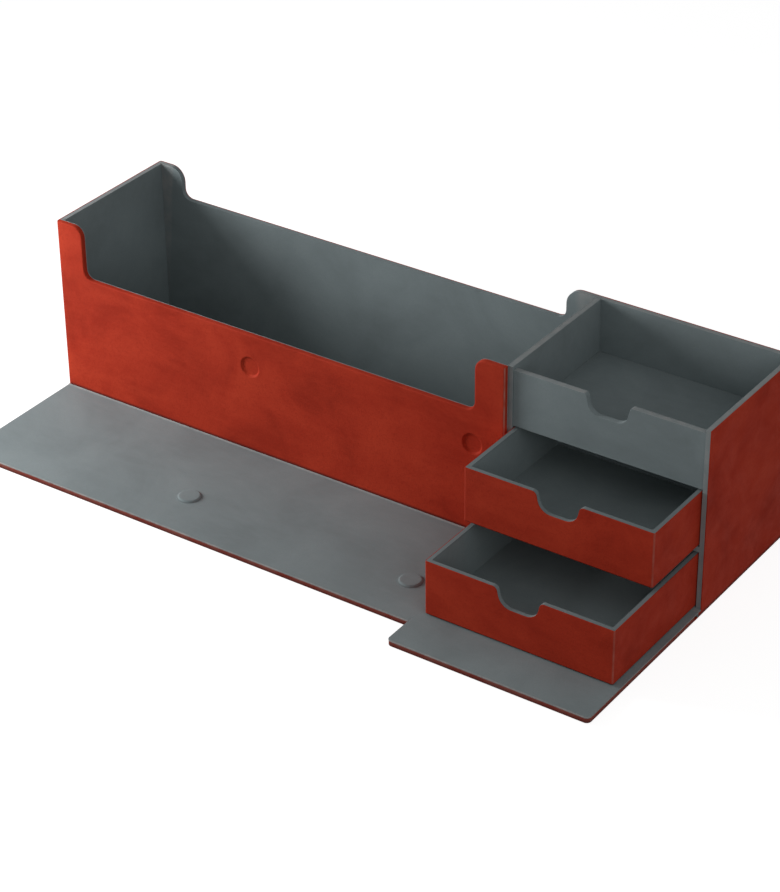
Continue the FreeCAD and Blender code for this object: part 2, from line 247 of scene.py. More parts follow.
def add_noise(nodes, links, place, scale, detail, roughness=0.55, distortion=0.0):
    """A noise's pattern, from 0 to 1."""
    noise = nodes.new("ShaderNodeTexNoise")
    noise.inputs["Scale"].default_value = scale
    noise.inputs["Detail"].default_value = detail
    noise.inputs["Roughness"].default_value = roughness
    noise.inputs["Distortion"].default_value = distortion
    links.new(place, noise.inputs["Vector"])
    return noise.outputs["Fac"]


def add_ramp(nodes, links, factor, stops):
    """Colours along a pattern; a stop is (position, colour)."""
    ramp = nodes.new("ShaderNodeValToRGB")
    elements = ramp.color_ramp.elements
    while len(elements) < len(stops):
        elements.new(1.0)
    for element, (position, colour) in zip(elements, stops):
        element.position = position
        element.color = colour
    links.new(factor, ramp.inputs["Fac"])
    return ramp.outputs["Color"]


def feed(links, value, socket):
    """Gives a socket another node's output or a plain value."""
    if isinstance(value, bpy.types.NodeSocket):
        links.new(value, socket)
    else:
        socket.default_value = value


def add_mix(nodes, links, share, first, second):
    """The second colour over the first, by its share."""
    mix = nodes.new("ShaderNodeMix")
    mix.data_type = "RGBA"
    for name, value in (("Factor_Float", share), ("A_Color", first), ("B_Color", second)):
        socket = next(socket for socket in mix.inputs if socket.identifier == name)
        feed(links, value, socket)
    return next(socket for socket in mix.outputs if socket.identifier == "Result_Color")


def add_range(nodes, links, value, span, to):
    """A pattern's values in the span, stretched to other limits."""
    stretch = nodes.new("ShaderNodeMapRange")
    for name, number in zip(("From Min", "From Max", "To Min", "To Max"), span + to):
        stretch.inputs[name].default_value = number
    links.new(value, stretch.inputs["Value"])
    return stretch.outputs["Result"]


def add_math(nodes, links, operation, first, second):
    node = nodes.new("ShaderNodeMath")
    node.operation = operation
    feed(links, first, node.inputs[0])
    feed(links, second, node.inputs[1])
    return node.outputs[0]


def add_bump(nodes, links, height, distance, strength, under=None):
    """Grain by a pattern, over the grain under it if there is one."""
    bump = nodes.new("ShaderNodeBump")
    bump.inputs["Distance"].default_value = distance
    bump.inputs["Strength"].default_value = strength
    links.new(height, bump.inputs["Height"])
    if under:
        links.new(under, bump.inputs["Normal"])
    return bump.outputs["Normal"]


def add_place(nodes, links, stretch=(1.0, 1.0, 1.0)):
    """Place on the object, which a stretch makes finer along an axis."""
    coordinates = nodes.new("ShaderNodeTexCoord")
    mapping = nodes.new("ShaderNodeMapping")
    mapping.inputs["Scale"].default_value = stretch
    links.new(coordinates.outputs["Object"], mapping.inputs["Vector"])
    return mapping.outputs["Vector"]


def add_shade(nodes):
    """How much painted shade a crease or lower edge carries, as the mesh says."""
    attribute = nodes.new("ShaderNodeAttribute")
    attribute.attribute_name = "edge_shade"
    return attribute.outputs["Fac"]


def add_wear(nodes, links, place):
    """How worn an edge is: the mesh's own edge band, broken up by noise."""
    attribute = nodes.new("ShaderNodeAttribute")
    attribute.attribute_name = "edge_wear"
    patches = add_noise(nodes, links, place, WEAR_PATCHES, detail=3.0)
    patch_share = add_range(nodes, links, patches, span=(0.35, 0.65), to=(0.35, 1.0))
    return add_math(nodes, links, "MULTIPLY", attribute.outputs["Fac"], patch_share)


def leatherette():
    material, nodes, links, shader = new_material("red_leatherette")
    place = add_place(nodes, links)
    clouds = add_noise(nodes, links, place, LEATHER_CLOUDS, detail=5.0, roughness=0.62, distortion=0.6)
    colour = add_ramp(nodes, links, clouds, LEATHER_TONES)
    rub_place = add_place(nodes, links, LEATHER_RUBBING_STRETCH)
    rubbed = add_noise(nodes, links, rub_place, LEATHER_RUBBING, detail=4.0, roughness=0.65, distortion=0.4)
    rub_share = add_range(nodes, links, rubbed, span=(0.40, 0.72), to=(0.0, 0.45))
    colour = add_mix(nodes, links, rub_share, colour, RED_PALE)
    pores = add_noise(nodes, links, place, LEATHER_PORES, detail=3.0, roughness=0.6)
    pore_share = add_range(nodes, links, pores, span=(0.30, 0.50), to=(0.30, 0.0))
    colour = add_mix(nodes, links, pore_share, colour, RED_DEEP)
    colour = add_mix(nodes, links, add_wear(nodes, links, place), colour, RED_EDGE)
    # Painted shade from the mesh's edge_shade
    colour = add_mix(nodes, links, add_shade(nodes), colour, RED_SHADE)
    links.new(colour, shader.inputs["Base Color"])
    gloss = add_range(nodes, links, rubbed, span=(0.3, 0.7), to=(0.78, 0.64))
    links.new(gloss, shader.inputs["Roughness"])
    pebbles = nodes.new("ShaderNodeTexVoronoi")
    pebbles.inputs["Scale"].default_value = LEATHER_PEBBLES
    links.new(place, pebbles.inputs["Vector"])
    grain = add_bump(nodes, links, pebbles.outputs["Distance"], LEATHER_PEBBLE_HEIGHT, strength=0.35)
    creases = add_noise(nodes, links, place, LEATHER_CREASES, detail=4.0, roughness=0.6, distortion=0.8)
    normal = add_bump(nodes, links, creases, LEATHER_CREASE_HEIGHT, strength=0.30, under=grain)
    links.new(normal, shader.inputs["Normal"])
    shader.inputs["Specular IOR Level"].default_value = LEATHER_SPECULAR
    return material


def microfibre():
    material, nodes, links, shader = new_material("grey_microfibre")
    place = add_place(nodes, links)
    clouds = add_noise(nodes, links, place, FIBRE_CLOUDS, detail=5.0, roughness=0.6, distortion=0.5)
    colour = add_ramp(nodes, links, clouds, FIBRE_TONES)
    nap_place = add_place(nodes, links, FIBRE_NAP_STRETCH)
    nap = add_noise(nodes, links, nap_place, FIBRE_NAP, detail=5.0, roughness=0.7, distortion=0.3)
    nap_share = add_range(nodes, links, nap, span=(0.40, 0.70), to=(0.0, 0.25))
    colour = add_mix(nodes, links, nap_share, colour, GREY_PALE)
    fibres = add_noise(nodes, links, place, FIBRE_FUZZ, detail=3.0, roughness=0.7)
    fibre_share = add_range(nodes, links, fibres, span=(0.30, 0.52), to=(0.35, 0.0))
    colour = add_mix(nodes, links, fibre_share, colour, GREY_DEEP)
    colour = add_mix(nodes, links, add_wear(nodes, links, place), colour, GREY_EDGE)
    # Painted shade from the mesh's edge_shade
    colour = add_mix(nodes, links, add_shade(nodes), colour, GREY_SHADE)
    links.new(colour, shader.inputs["Base Color"])
    fuzz = add_bump(nodes, links, fibres, FIBRE_FUZZ_HEIGHT, strength=0.45)
    normal = add_bump(nodes, links, nap, FIBRE_NAP_HEIGHT, strength=0.30, under=fuzz)
    links.new(normal, shader.inputs["Normal"])
    shader.inputs["Roughness"].default_value = FIBRE_ROUGHNESS
    shader.inputs["Specular IOR Level"].default_value = FIBRE_SPECULAR
    shader.inputs["Sheen Weight"].default_value = FIBRE_SHEEN
    shader.inputs["Sheen Roughness"].default_value = FIBRE_SHEEN_ROUGHNESS
    return material


def grey_board():
    material, nodes, links, shader = new_material("grey_board")
    place = add_place(nodes, links)
    pulp = add_noise(nodes, links, place, BOARD_PULP, detail=6.0, roughness=0.7)
    colour = add_ramp(nodes, links, pulp, BOARD_TONES)
    links.new(colour, shader.inputs["Base Color"])
    normal = add_bump(nodes, links, pulp, BOARD_PULP_HEIGHT, strength=0.4)
    links.new(normal, shader.inputs["Normal"])
    shader.inputs["Roughness"].default_value = BOARD_ROUGHNESS
    return material


def magnet_steel():
    material, nodes, links, shader = new_material("magnet_steel")
    place = add_place(nodes, links, STEEL_BRUSHING_STRETCH)
    brushed = add_noise(nodes, links, place, STEEL_BRUSHING, detail=4.0, roughness=0.6)
    colour = add_ramp(nodes, links, brushed, STEEL_TONES)
    links.new(colour, shader.inputs["Base Color"])
    gloss = add_range(nodes, links, brushed, span=(0.3, 0.7), to=(0.25, 0.42))
    links.new(gloss, shader.inputs["Roughness"])
    normal = add_bump(nodes, links, brushed, STEEL_BRUSHING_HEIGHT, strength=0.3)
    links.new(normal, shader.inputs["Normal"])
    shader.inputs["Metallic"].default_value = 1.0
    return material


MATERIALS = {
    "red_leatherette": leatherette(),
    "grey_microfibre": microfibre(),
    "grey_board": grey_board(),
    "magnet_steel": magnet_steel(),
}


# Lines and columns of points

def rounded_line(corners):
    """Points of a line whose corners (x, height, radius) are rounded."""
    points = []
    for index, (x, height, radius) in enumerate(corners):
        corner = Vector((x, height))
        if radius == 0:
            points.append(corner)
            continue
        before = (Vector(corners[index - 1][:2]) - corner).normalized()
        after = (Vector(corners[index + 1][:2]) - corner).normalized()
        half = before.angle(after) / 2
        centre = corner + (before + after).normalized() * (radius / math.sin(half))
        start = corner + before * (radius / math.tan(half)) - centre
        end = corner + after * (radius / math.tan(half)) - centre
        turn = start.angle_signed(end)
        for step in range(ARC_STEPS + 1):
            points.append(centre + Matrix.Rotation(-turn * step / ARC_STEPS, 2) @ start)
    return points


def spread(points, stops=()):
    """The same line with a point at every stop and none further apart than the wall step."""
    line = [points[0]]
    for start, end in zip(points, points[1:]):
        run = end.x - start.x
        inside = [x for x in stops if start.x + TINY < x < end.x - TINY]
        marks = [0.0] + [(x - start.x) / run for x in inside] + [1.0]
        for low, high in zip(marks, marks[1:]):
            parts = max(1, math.ceil((high - low) * run / WALL_STEP))
            for part in range(1, parts + 1):
                line.append(start.lerp(end, low + (high - low) * part / parts))
    return line


def evenly(low, high):
    """Places from low to high, both included, no further apart than the wall step."""
    parts = max(1, math.ceil((high - low) / WALL_STEP - TINY))
    return [low + (high - low) * part / parts for part in range(parts + 1)]


def cells(low, high, count):
    """Ends of equal cells from low to high."""
    return [low + (high - low) * part / count for part in range(count + 1)]


def quarter_turn(first, last):
    """Angles at the steps of a quarter turn, from the first to the last."""
    return [QUARTER_TURN * step / FOLD_STEPS for step in range(first, last + 1)]


def upright(x, y, heights):
    """A column of points over one place."""
    return [Vector((x, y, z)) for z in heights]


def join_columns(mesh, columns, closed=False, holes=()):
    """Faces between neighbouring columns of points; a shorter column stops where its neighbour goes on.

    A hole is (first column, last column, first row, last row) of the cells left out.
    """
    verts = [[mesh.verts.new(point) for point in column] for column in columns]
    pairs = list(zip(range(len(verts) - 1), range(1, len(verts))))
    if closed:
        pairs.append((len(verts) - 1, 0))
    for left, right in pairs:
        for row in range(min(len(verts[left]), len(verts[right])) - 1):
            if any(first <= left < last and low <= row < high for first, last, low, high in holes):
                continue
            below = (verts[left][row], verts[right][row])
            above = (verts[right][row + 1], verts[left][row + 1])
            mesh.faces.new(below + above)
    return verts


# Dimples and bumps

def magnet_centres(node):
    """Left and right middles of the two round magnets of a node."""
    low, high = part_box(node)
    across = high - low
    radius = max(across.y, across.z) / 2
    middle = (low + high) / 2
    return (Vector((low.x + radius, middle.y, middle.z)), Vector((high.x - radius, middle.y, middle.z)))


def square_stops(centres, half):
    """Columns of the squares round dimples or bumps."""
    return [x for centre in centres for x in cells(centre.x - half, centre.x + half, SQUARE_CELLS)]


def square_holes(centres, half, places, first_column, first_row):
    """Holes for those squares in a wall whose columns stand at the places along it."""
    holes = []
    for centre in centres:
        inside = [index for index, x in enumerate(places) if abs(x - centre.x) < half + TINY]
        left = first_column + inside[0]
        right = first_column + inside[-1]
        holes.append((left, right, first_row, first_row + SQUARE_CELLS))
    return holes


def soft_rings(rim, flat):
    """Rings of a dimple or bump from outside to its middle: radius and share of the full depth there."""
    rings = [(rim + SOFT_MARGIN / 2, 0.0)]
    for slope in cells(0.0, 1.0, SLOPE_RINGS):
        rings.append((rim + (flat - rim) * slope, slope * slope * (3 - 2 * slope)))
    return rings + [(flat * share, 1.0) for share in FLAT_RING_SHARES]


def soft_round(mesh, verts, hole, centre, along, rise, rings, crease=0.0):
    """Fills a hole with rings that rise, or sink, from the wall round them to the full rise.

    The wall runs along X and along the direction told.
    """
    first, last, low, high = hole
    ring = [verts[column][low] for column in range(first, last)]
    ring += [verts[last][row] for row in range(low, high)]
    ring += [verts[column][high] for column in range(last, first, -1)]
    ring += [verts[first][row] for row in range(high, low, -1)]
    offsets = [vert.co - centre for vert in ring]
    turns = [(X_AXIS * offset.x + along * offset.dot(along)).normalized() for offset in offsets]
    for radius, share in rings:
        inner = [mesh.verts.new(centre + turn * radius + rise * share) for turn in turns]
        # The outer rings of the slope carry the crease's painted shade
        if 0 < share < CREASE_END_SHARE:
            for vert in inner:
                vert[shade_layer(mesh)] = crease
        for index in range(len(ring)):
            after = (index + 1) % len(ring)
            mesh.faces.new((ring[index], ring[after], inner[after], inner[index]))
        ring = inner
    mesh.faces.new(ring)


# Pieces

def keep_evaluated(obj):
    """Keeps the result of the object's modifiers as its mesh."""
    bpy.context.view_layer.update()
    final = bpy.data.meshes.new_from_object(obj.evaluated_get(bpy.context.evaluated_depsgraph_get()))
    obj.modifiers.clear()
    obj.data = final


def round_edges(data, width, stays_sharp):
    """Rounds the mesh's sharp edges, apart from those that stay sharp."""
    mesh = bmesh.new()
    mesh.from_mesh(data)
    mesh.normal_update()
    rounded = []
    for edge in mesh.edges:
        if len(edge.link_faces) != 2 or edge.calc_face_angle() < BEVEL_ANGLE:
            continue
        if stays_sharp(edge):
            edge.smooth = False
        else:
            rounded.append(edge)
    bmesh.ops.bevel(
        mesh, geom=rounded, offset=width, segments=EDGE_SEGMENTS, profile=0.5, affect="EDGES",
        clamp_overlap=True)
    bmesh.ops.dissolve_degenerate(mesh, dist=TINY, edges=mesh.edges)
    mesh.to_mesh(data)
    mesh.free()


def new_piece(name, mesh, slot, thickness=0.0, bevel=EDGE_BEVEL, stays_sharp=lambda edge: False):
    """A piece from its sheet or its solid: thickness, rounded edges and even shading on the flats."""
    loose = [vert for vert in mesh.verts if not vert.link_faces]
    bmesh.ops.delete(mesh, geom=loose, context="VERTS")
    data = bpy.data.meshes.new(name)
    mesh.to_mesh(data)
    mesh.free()
    data.polygons.foreach_set("use_smooth", [True] * len(data.polygons))
    data.materials.append(MATERIALS[slot])
    piece = bpy.data.objects.new(name, data)
    bpy.context.scene.collection.objects.link(piece)
    if thickness:
        solid = piece.modifiers.new("thickness", "SOLIDIFY")
        solid.thickness = thickness
        solid.offset = -1.0
        solid.use_even_offset = True
        keep_evaluated(piece)
    round_edges(piece.data, bevel, stays_sharp)
    piece.modifiers.new("flats", "WEIGHTED_NORMAL").keep_sharp = True
    keep_evaluated(piece)
    return piece


def new_sheet():
    """An empty mesh with a place for each point's wear and painted shade."""
    mesh = bmesh.new()
    mesh.verts.layers.float.new("edge_wear")
    mesh.verts.layers.float.new("edge_shade")
    return mesh


def wear_layer(mesh):
    return mesh.verts.layers.float["edge_wear"]


def shade_layer(mesh):
    return mesh.verts.layers.float["edge_shade"]


def dressed(node, slot, wear=lambda point: 0.0, shade=lambda point: 0.0):
    """The node's own shape with rounded edges, worn and given painted shade as told for each point."""
    mesh = bmesh.new()
    mesh.from_mesh(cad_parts[node].data)
    bmesh.ops.remove_doubles(mesh, verts=mesh.verts, dist=TINY)
    bmesh.ops.dissolve_limit(mesh, angle_limit=FLAT_ANGLE, verts=mesh.verts, edges=mesh.edges)
    piece = new_piece(node + "_dressed", mesh, slot)
    for name, value_at in (("edge_wear", wear), ("edge_shade", shade)):
        attribute = piece.data.attributes.new(name, "FLOAT", "POINT")
        attribute.data.foreach_set("value", [value_at(vert.co) for vert in piece.data.vertices])
    return piece


def fit(piece, body, *nodes):
    """Lets the piece stand for the nodes, on a body."""
    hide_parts(*nodes)
    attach(piece, body)


# Case wrap: one sheet round the right end, the back, the left end and the tray's front

# Rows: a band at the foot that carries painted shade, rows that all walls share, then rows up to a cut-out's
# split and above it
FOOT_BAND = 2.6 * MM
FOOT_ROWS = 2
ROW_BASE = 60.0 * MM
CUT_ROWS = 4
SHOULDER_ROWS = 5
FRONT_SPLIT = CASE_TOP - FRONT_CUT_DEPTH + CUT_CORNER_RADIUS
BACK_SPLIT = CASE_TOP - BACK_CUT_DEPTH + CUT_CORNER_RADIUS

# Place of the tray's front in the turn of walls and folds, and the left end's columns inside its rim
FRONT_WALL = 6
RIM_COLUMNS = 2


def wall_corners(x_low, x_high, cut_depth, shoulder_radius, inset=0.0):
    """Corners of a long wall's top edge with its cut-out, or of a line inside that edge."""
    top = CASE_TOP - inset
    cut_height = top - cut_depth
    left = CUT_LEFT - inset
    right = CUT_RIGHT + inset
    return [
        (x_low, top, 0),
        (left, top, shoulder_radius - inset),
        (left, cut_height, CUT_CORNER_RADIUS + inset),
        (right, cut_height, CUT_CORNER_RADIUS + inset),
        (right, top, shoulder_radius - inset),
        (x_high, top, 0),
    ]


def wall_stops(corners, stops=()):
    """Stops along a wall from left to right: place, height there and whether it lies in the cut-out."""
    points = rounded_line(corners)
    line = []
    start = 0
    for index in range(1, len(points) + 1):
        if index == len(points) or abs(points[index].x - points[index - 1].x) < TINY:
            line.append(spread(points[start:index], stops))
            start = index
    left, cut, right = line
    ends = [(point.x, point.y, False) for point in left]
    middle = [(point.x, point.y, True) for point in cut[1:-1]]
    return ends + middle + [(point.x, point.y, False) for point in right]


def wall_heights(rows, top, split, in_cut):
    """Heights of the points in one column, from the bottom edge to the top edge."""
    heights = list(rows)
    if in_cut:
        return heights + cells(rows[-1], top, CUT_ROWS)[1:]
    heights += cells(rows[-1], split, CUT_ROWS)[1:]
    return heights + cells(split, top, SHOULDER_ROWS)[1:]


def fold_columns(corner, out, start_angle, heights_at):
    """Columns round one rounded upright corner, without its two ends."""
    centre = corner - out * CASE_FOLD_RADIUS
    columns = []
    for step in range(1, FOLD_STEPS):
        share = step / FOLD_STEPS
        angle = start_angle + QUARTER_TURN * share
        spot = centre + Vector((math.cos(angle), math.sin(angle))) * CASE_FOLD_RADIUS
        columns.append(upright(spot.x, spot.y, heights_at(share)))
    return columns


def front_edge(front, verts, split_row):
    """Points along the top edge of the tray's front wall, down and up the sides of its cut-out too."""
    line = []
    for index, (x, top, in_cut) in enumerate(front):
        column = verts[index]
        starts_cut = not in_cut and index + 1 < len(front) and front[index + 1][2]
        ends_cut = not in_cut and index > 0 and front[index - 1][2]
        if starts_cut:
            line += reversed(column[split_row:])
        elif ends_cut:
            line += column[split_row:]
        else:
            line.append(column[-1])
    return line


def roll_rim(mesh, line):
    """Rolls the sheet over a top edge and back across its rim; gives the lines of points it adds."""
    places = [Vector((vert.co.x, vert.co.z)) for vert in line]
    steps = [(after - before).normalized() for before, after in zip(places, places[1:])]
    runs = [before + after for before, after in zip(steps[:1] + steps, steps + steps[-1:])]
    outward = [Vector((-run.y, run.x)).normalized() for run in runs]
    lines = [line]
    for angle in quarter_turn(1, FOLD_STEPS):
        depth = Y_FRONT + RIM_ROLL_RADIUS * (1 - math.cos(angle))
        spots = [place + out * RIM_ROLL_RADIUS * math.sin(angle) for place, out in zip(places, outward)]
        lines.append([mesh.verts.new((spot.x, depth, spot.y)) for spot in spots])
    lines.append([mesh.verts.new((vert.co.x, Y_FRONT_RIM, vert.co.z)) for vert in lines[-1]])
    for near, far in zip(lines, lines[1:]):
        for index in range(len(line) - 1):
            mesh.faces.new((near[index], near[index + 1], far[index + 1], far[index]))
    return lines[1:]


def case_rows(dimple_height):
    """Heights that all full columns of the wrap share, and the row at which the dimples' squares start."""
    square = cells(dimple_height - DIMPLE_HALF_SQUARE, dimple_height + DIMPLE_HALF_SQUARE, SQUARE_CELLS)
    foot = cells(FOOT_TOP, FOOT_TOP + FOOT_BAND, FOOT_ROWS)
    below = [COVER_LOW] + foot + evenly(foot[-1], square[0])[1:]
    return below + square[1:] + [ROW_BASE], len(below) - 1


def front_stops(dimples):
    """Stops along the tray's front wall, the columns of the dimples' squares among them."""
    corners = wall_corners(
        X_LEFT + CASE_FOLD_RADIUS, X_TRAY_END - CASE_FOLD_RADIUS, FRONT_CUT_DEPTH, FRONT_SHOULDER_RADIUS,
        inset=RIM_ROLL_RADIUS)
    return wall_stops(corners, square_stops(dimples, DIMPLE_HALF_SQUARE))


def right_end_columns(heights):
    """Columns from the front to the back; the first one is only the foot under the drawers."""
    columns = [upright(X_RIGHT, Y_FRONT + COVER, [COVER_LOW, FOOT_TOP])]
    for y in evenly(Y_CABINET, Y_BACK - CASE_FOLD_RADIUS):
        columns.append(upright(X_RIGHT, y, heights))
    return columns


def back_columns(rows):
    """Columns from the right to the left."""
    corners = wall_corners(
        X_LEFT + CASE_FOLD_RADIUS, X_RIGHT - CASE_FOLD_RADIUS, BACK_CUT_DEPTH, BACK_SHOULDER_RADIUS)
    columns = []
    for x, top, in_cut in reversed(wall_stops(corners)):
        columns.append(upright(x, Y_BACK, wall_heights(rows, top, BACK_SPLIT, in_cut)))
    return columns


def left_end_columns(rows):
    """Columns from the back to the front; one row runs from the back's split to the front's."""
    side = [Y_FRONT + CASE_FOLD_RADIUS] + evenly(Y_FRONT_RIM, Y_BACK - CASE_FOLD_RADIUS)
    columns = []
    for y in reversed(side):
        share = (y - side[0]) / (side[-1] - side[0])
        split = FRONT_SPLIT + (BACK_SPLIT - FRONT_SPLIT) * share
        columns.append(upright(X_LEFT, y, wall_heights(rows, CASE_TOP, split, False)))
    return columns


def front_columns(rows, front):
    """Columns from the left to the right."""
    columns = []
    for x, top, in_cut in front:
        columns.append(upright(x, Y_FRONT, wall_heights(rows, top, FRONT_SPLIT, in_cut)))
    return columns


def case_walls(rows, front):
    """Columns of each wall and fold of the wrap in turn; every second entry is a fold."""
    back_heights = wall_heights(rows, CASE_TOP, BACK_SPLIT, False)

    def at_back(share):
        return back_heights

    def at_front(share):
        return wall_heights(rows, CASE_TOP - RIM_ROLL_RADIUS * share, FRONT_SPLIT, False)

    def at_tray_end(share):
        return at_front(1 - share)

    tray_end = [upright(X_TRAY_END, y, at_front(0.0)) for y in (Y_FRONT + CASE_FOLD_RADIUS, Y_FRONT_RIM)]
    return [
        right_end_columns(back_heights),
        fold_columns(Vector((X_RIGHT, Y_BACK)), Vector((1, 1)), 0.0, at_back),
        back_columns(rows),
        fold_columns(Vector((X_LEFT, Y_BACK)), Vector((-1, 1)), QUARTER_TURN, at_back),
        left_end_columns(rows),
        fold_columns(Vector((X_LEFT, Y_FRONT)), Vector((-1, -1)), 2 * QUARTER_TURN, at_front),
        front_columns(rows, front),
        fold_columns(Vector((X_TRAY_END, Y_FRONT)), Vector((1, -1)), -QUARTER_TURN, at_tray_end),
        tray_end,
    ]


def mark_case_wrap(mesh, verts, starts):
    """Wears the middle of each fold and paints shade along the wrap's foot."""
    wear = wear_layer(mesh)
    for first in starts[1:-1:2]:
        for column in verts[first + 1:first + FOLD_STEPS - 2]:
            for vert in column:
                vert[wear] = FOLD_WEAR
    shade = shade_layer(mesh)
    first_front = starts[FRONT_WALL]
    for column in verts[:first_front]:
        column[0][shade] = EDGE_SHADE
    for column in verts[first_front:starts[FRONT_WALL + 1]]:
        for vert in column[:FOOT_ROWS + 1]:
            vert[shade] = EDGE_SHADE


def close_front_rim(mesh, verts, starts, front, split_row):
    """Rolls the sheet over the front's top edge and fills the rim's two corners beside it."""
    first = starts[FRONT_WALL]
    last = starts[FRONT_WALL + 1] - 1
    rolled = roll_rim(mesh, front_edge(front, verts[first:last + 1], split_row))
    left_start = starts[FRONT_WALL - 1] - RIM_COLUMNS
    left_top = [column[-1] for column in verts[left_start:first + 1]]
    mesh.faces.new(left_top + [line[0] for line in rolled])
    right_top = [column[-1] for column in verts[last:]]
    mesh.faces.new(right_top + [line[-1] for line in reversed(rolled)])


def build_case_wrap():
    dimples = magnet_centres("tray_front_magnets")
    rows, square_row = case_rows(dimples[0].z)
    front = front_stops(dimples)
    walls = case_walls(rows, front)
    starts = [0]
    for wall in walls:
        starts.append(starts[-1] + len(wall))
    columns = [column for wall in walls for column in wall]
    places = [x for x, top, in_cut in front]
    holes = square_holes(dimples, DIMPLE_HALF_SQUARE, places, starts[FRONT_WALL], square_row)
    mesh = new_sheet()
    verts = join_columns(mesh, columns, holes=holes)
    rings = soft_rings(DIMPLE_RIM, DIMPLE_FLAT)
    for dimple, hole in zip(dimples, holes):
        centre = Vector((dimple.x, Y_FRONT, dimple.z))
        soft_round(mesh, verts, hole, centre, Z_AXIS, Y_AXIS * DIMPLE_DEPTH, rings)
    mark_case_wrap(mesh, verts, starts)
    close_front_rim(mesh, verts, starts, front, split_row=len(rows) - 1 + CUT_ROWS)
    piece = new_piece("case_wrap", mesh, "red_leatherette", thickness=COVER)
    fit(piece, "case", "tray_front_cover", "left_end_cover", "back_cover", "right_end_cover")


# Drawers: a wrap outside and a lining inside, each one sheet round the four walls

WRAP_SHARES = (0.0, 0.25, 0.5, 0.75, 0.93, 1.0)
LINING_SHARES = (1.0, 0.95, 0.75, 0.5, 0.25, 0.05, 0.0)
RIM_POINTS = 3   # of a lining's column, from the wrap's edge to the wall


def drawer_front_line(low, high):
    """Top edge of a drawer's front with its thumb notch."""
    middle = (low.x + high.x) / 2
    floor = high.z - NOTCH_DEPTH
    corners = [
        (low.x + DRAWER_CORNER_ROOM, high.z, 0),
        (middle - NOTCH_HALF_WIDTH, high.z, NOTCH_SHOULDER_RADIUS),
        (middle - NOTCH_HALF_FLOOR, floor, NOTCH_CORNER_RADIUS),
        (middle + NOTCH_HALF_FLOOR, floor, NOTCH_CORNER_RADIUS),
        (middle + NOTCH_HALF_WIDTH, high.z, NOTCH_SHOULDER_RADIUS),
        (high.x - DRAWER_CORNER_ROOM, high.z, 0),
    ]
    return spread(rounded_line(corners))


def drawer_stops(low, high):
    """Stops round a drawer: a place for any inset and radius, the top edge there, how worn a fold is, with a
    painted highlight on the right-hand folds.
    """
    top = high.z
    room = DRAWER_CORNER_ROOM

    def wall(x, y, inward):
        spot = Vector((x, y))
        return lambda inset, radius: spot + Vector(inward) * inset

    def corner(x, y, out, angle):
        spot = Vector((x, y))
        turn = Vector((math.cos(angle), math.sin(angle)))
        return lambda inset, radius: spot - Vector(out) * (inset + radius) + turn * radius

    def corner_stops(x, y, out, start_angle):
        # Right-hand folds get full wear and a painted highlight, left-hand ones only a share of it
        rubbed = 1.0 if out[0] > 0 else LEFT_FOLD_WEAR_AND_HIGHLIGHT_SHARE
        stops = []
        for step in range(FOLD_STEPS + 1):
            share = step / FOLD_STEPS
            place = corner(x, y, out, start_angle + QUARTER_TURN * share)
            stops.append((place, top, rubbed * math.sin(math.pi * share)))
        return stops

    sides = evenly(low.y + room, high.y - room)
    backs = evenly(low.x + room, high.x - room)
    stops = [(wall(point.x, low.y, (0, 1)), point.y, 0.0) for point in drawer_front_line(low, high)]
    stops += corner_stops(high.x, low.y, (1, -1), -QUARTER_TURN)
    stops += [(wall(high.x, y, (-1, 0)), top, 0.0) for y in sides]
    stops += corner_stops(high.x, high.y, (1, 1), 0.0)
    stops += [(wall(x, high.y, (0, -1)), top, 0.0) for x in reversed(backs)]
    stops += corner_stops(low.x, high.y, (-1, 1), QUARTER_TURN)
    stops += [(wall(low.x, y, (1, 0)), top, 0.0) for y in reversed(sides)]
    stops += corner_stops(low.x, low.y, (-1, -1), 2 * QUARTER_TURN)
    return stops


def build_drawer_wrap(body):
    """Wrap of a drawer: its bottom, a rolled edge round it and the four walls."""
    node = body + "_wrap"
    low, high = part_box(node)
    roll = DRAWER_ROLL_RADIUS
    wall_low = low.z + roll
    stops = drawer_stops(low, high)
    columns = []
    for place, top, rubbed in stops:
        column = []
        for angle in quarter_turn(0, FOLD_STEPS - 1):
            inset = roll * (1 - math.sin(angle))
            spot = place(inset, DRAWER_FOLD_RADIUS - inset)
            column.append(Vector((spot.x, spot.y, low.z + roll * (1 - math.cos(angle)))))
        spot = place(0.0, DRAWER_FOLD_RADIUS)
        heights = [wall_low + (top - wall_low) * share for share in WRAP_SHARES]
        columns.append(column + upright(spot.x, spot.y, heights))
    mesh = new_sheet()
    verts = join_columns(mesh, columns, closed=True)
    mesh.faces.new([column[0] for column in reversed(verts)])
    wear = wear_layer(mesh)
    shade = shade_layer(mesh)
    for column, (place, top, rubbed) in zip(verts, stops):
        # Wear on the folds, with a painted highlight on the right-hand ones
        for vert in column:
            vert[wear] = DRAWER_FOLD_WEAR_AND_HIGHLIGHT * rubbed
        # Painted shade along the bottom roll, where the drawer stands
        for vert in column[1:FOLD_STEPS]:
            vert[shade] = EDGE_SHADE
    bevel = DRAWER_COVER * DRAWER_BEVEL_SHARE
    piece = new_piece(node + "_dressed", mesh, "red_leatherette", thickness=DRAWER_COVER, bevel=bevel)
    fit(piece, body, node)


